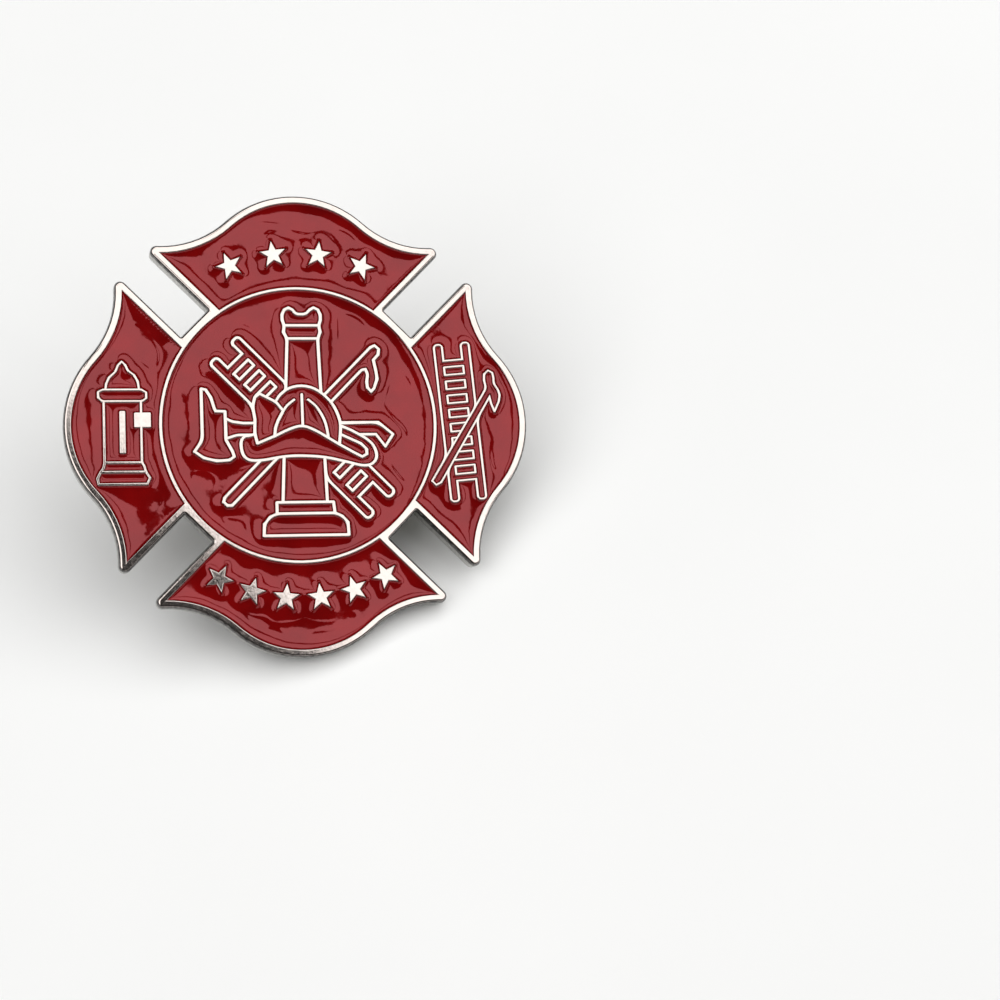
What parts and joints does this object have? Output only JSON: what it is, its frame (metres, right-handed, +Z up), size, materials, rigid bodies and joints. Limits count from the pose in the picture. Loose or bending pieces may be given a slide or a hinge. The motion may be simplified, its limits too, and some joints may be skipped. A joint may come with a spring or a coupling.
{
  "type": "collar pin",
  "caption": "Enamelled collar pin: a cross-shaped metal badge with raised lines round red enamel, a pointed post on its back, and a butterfly clutch that slides off the post.",
  "frame": {"origin": "on the surface that the pin rests on, under the middle of its box", "axes": "+Z up; the upper arm of the cross points to +Y and up, and the badge's face looks up and towards -Y"},
  "size_m": [0.0287, 0.026, 0.0161],
  "materials": {
    "nickel": "die-struck and nickel plated, with polished line tops",
    "red_enamel": "glossy soft enamel, filled just below the metal lines",
    "clutch_nickel": "stamped sheet, bright nickel plated"
  },
  "bodies": {
    "badge": {"badge": "nickel", "enamel_top": "red_enamel", "enamel_bottom": "red_enamel", "enamel_left": "red_enamel", "enamel_right": "red_enamel", "enamel_center": "red_enamel"},
    "clutch": {"clutch_base": "clutch_nickel", "clutch_wings": "clutch_nickel"}
  },
  "joints": [
    {"name": "clutch_pull", "type": "slide", "parent": "badge", "child": "clutch", "axis": [-0.2114, 0.4885, -0.8466], "range_m": [0, 0.009]}
  ]
}
